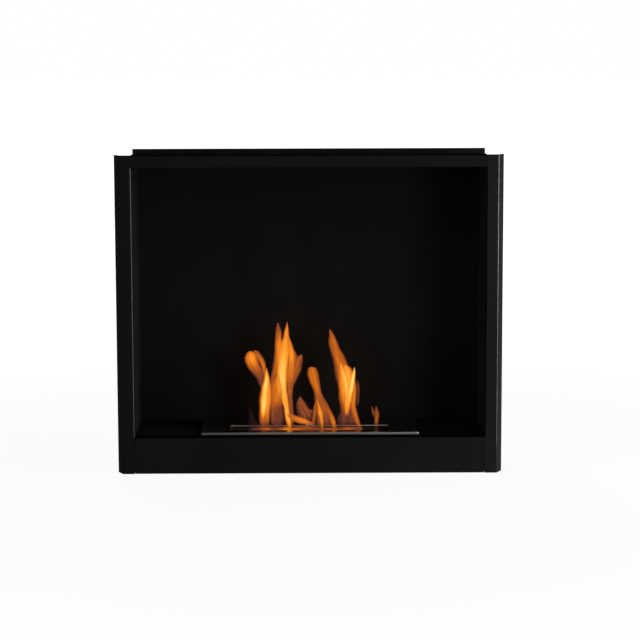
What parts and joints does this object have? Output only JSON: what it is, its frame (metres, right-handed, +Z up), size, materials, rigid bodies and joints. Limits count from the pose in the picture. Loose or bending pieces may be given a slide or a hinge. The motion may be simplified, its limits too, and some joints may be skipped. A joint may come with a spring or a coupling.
{
  "type": "bioethanol fireplace",
  "caption": "Open-fronted black steel bioethanol fireplace for a wall or niche, with a folded front frame and a slotted stainless burner that has a sliding lid.",
  "frame": {"origin": "middle of the footprint, on the surface that the fireplace stands on", "axes": "+Z up, the fire opening faces -Y, +X across the front from left to right as seen from the front"},
  "size_m": [0.6, 0.188, 0.4965],
  "materials": {
    "frame_coat": "satin black powder coat",
    "case_coat": "matt black powder coat",
    "firebox_coat": "matt black heat-proof paint",
    "zinc": "zinc plated",
    "rivet": "gloss black",
    "stainless": "brushed stainless steel",
    "wool": "white ceramic wool",
    "rubber": "matt black rubber",
    "flame": "glowing translucent flame"
  },
  "bodies": {
    "fireplace": {"left_stile": "frame_coat", "right_stile": "frame_coat", "top_rail": "frame_coat", "bottom_panel": "frame_coat", "frame_studs": "zinc", "frame_nuts": "zinc", "casing_left_side": "case_coat", "casing_right_side": "case_coat", "casing_top": "case_coat", "casing_bottom": "case_coat", "back_plate": "case_coat", "casing_rivets": "rivet", "firebox_left_wall": "firebox_coat", "firebox_right_wall": "firebox_coat", "firebox_back_wall": "firebox_coat", "firebox_ceiling": "firebox_coat", "firebox_floor": "firebox_coat", "liner_rivets": "rivet", "floor_support_left": "case_coat", "floor_support_right": "case_coat", "spill_tray": "zinc", "rubber_pads": "rubber", "wall_bumpers": "rubber"},
    "burner": {"burner_tank": "stainless", "burner_top_plate": "stainless", "burner_screws": "stainless", "ceramic_fibre": "wool", "retaining_mesh": "stainless", "lid_guide_left": "stainless", "lid_guide_right": "stainless"},
    "lid": {"snuffer_lid": "stainless", "lid_lug": "stainless"}
  },
  "joints": [
    {"name": "burner_lift", "type": "slide", "parent": "fireplace", "child": "burner", "axis": [0, 0, 1], "range_m": [0, 0.06]},
    {"name": "lid_slide", "type": "slide", "parent": "burner", "child": "lid", "axis": [0, -1, 0], "range_m": [0, 0.0388]}
  ]
}
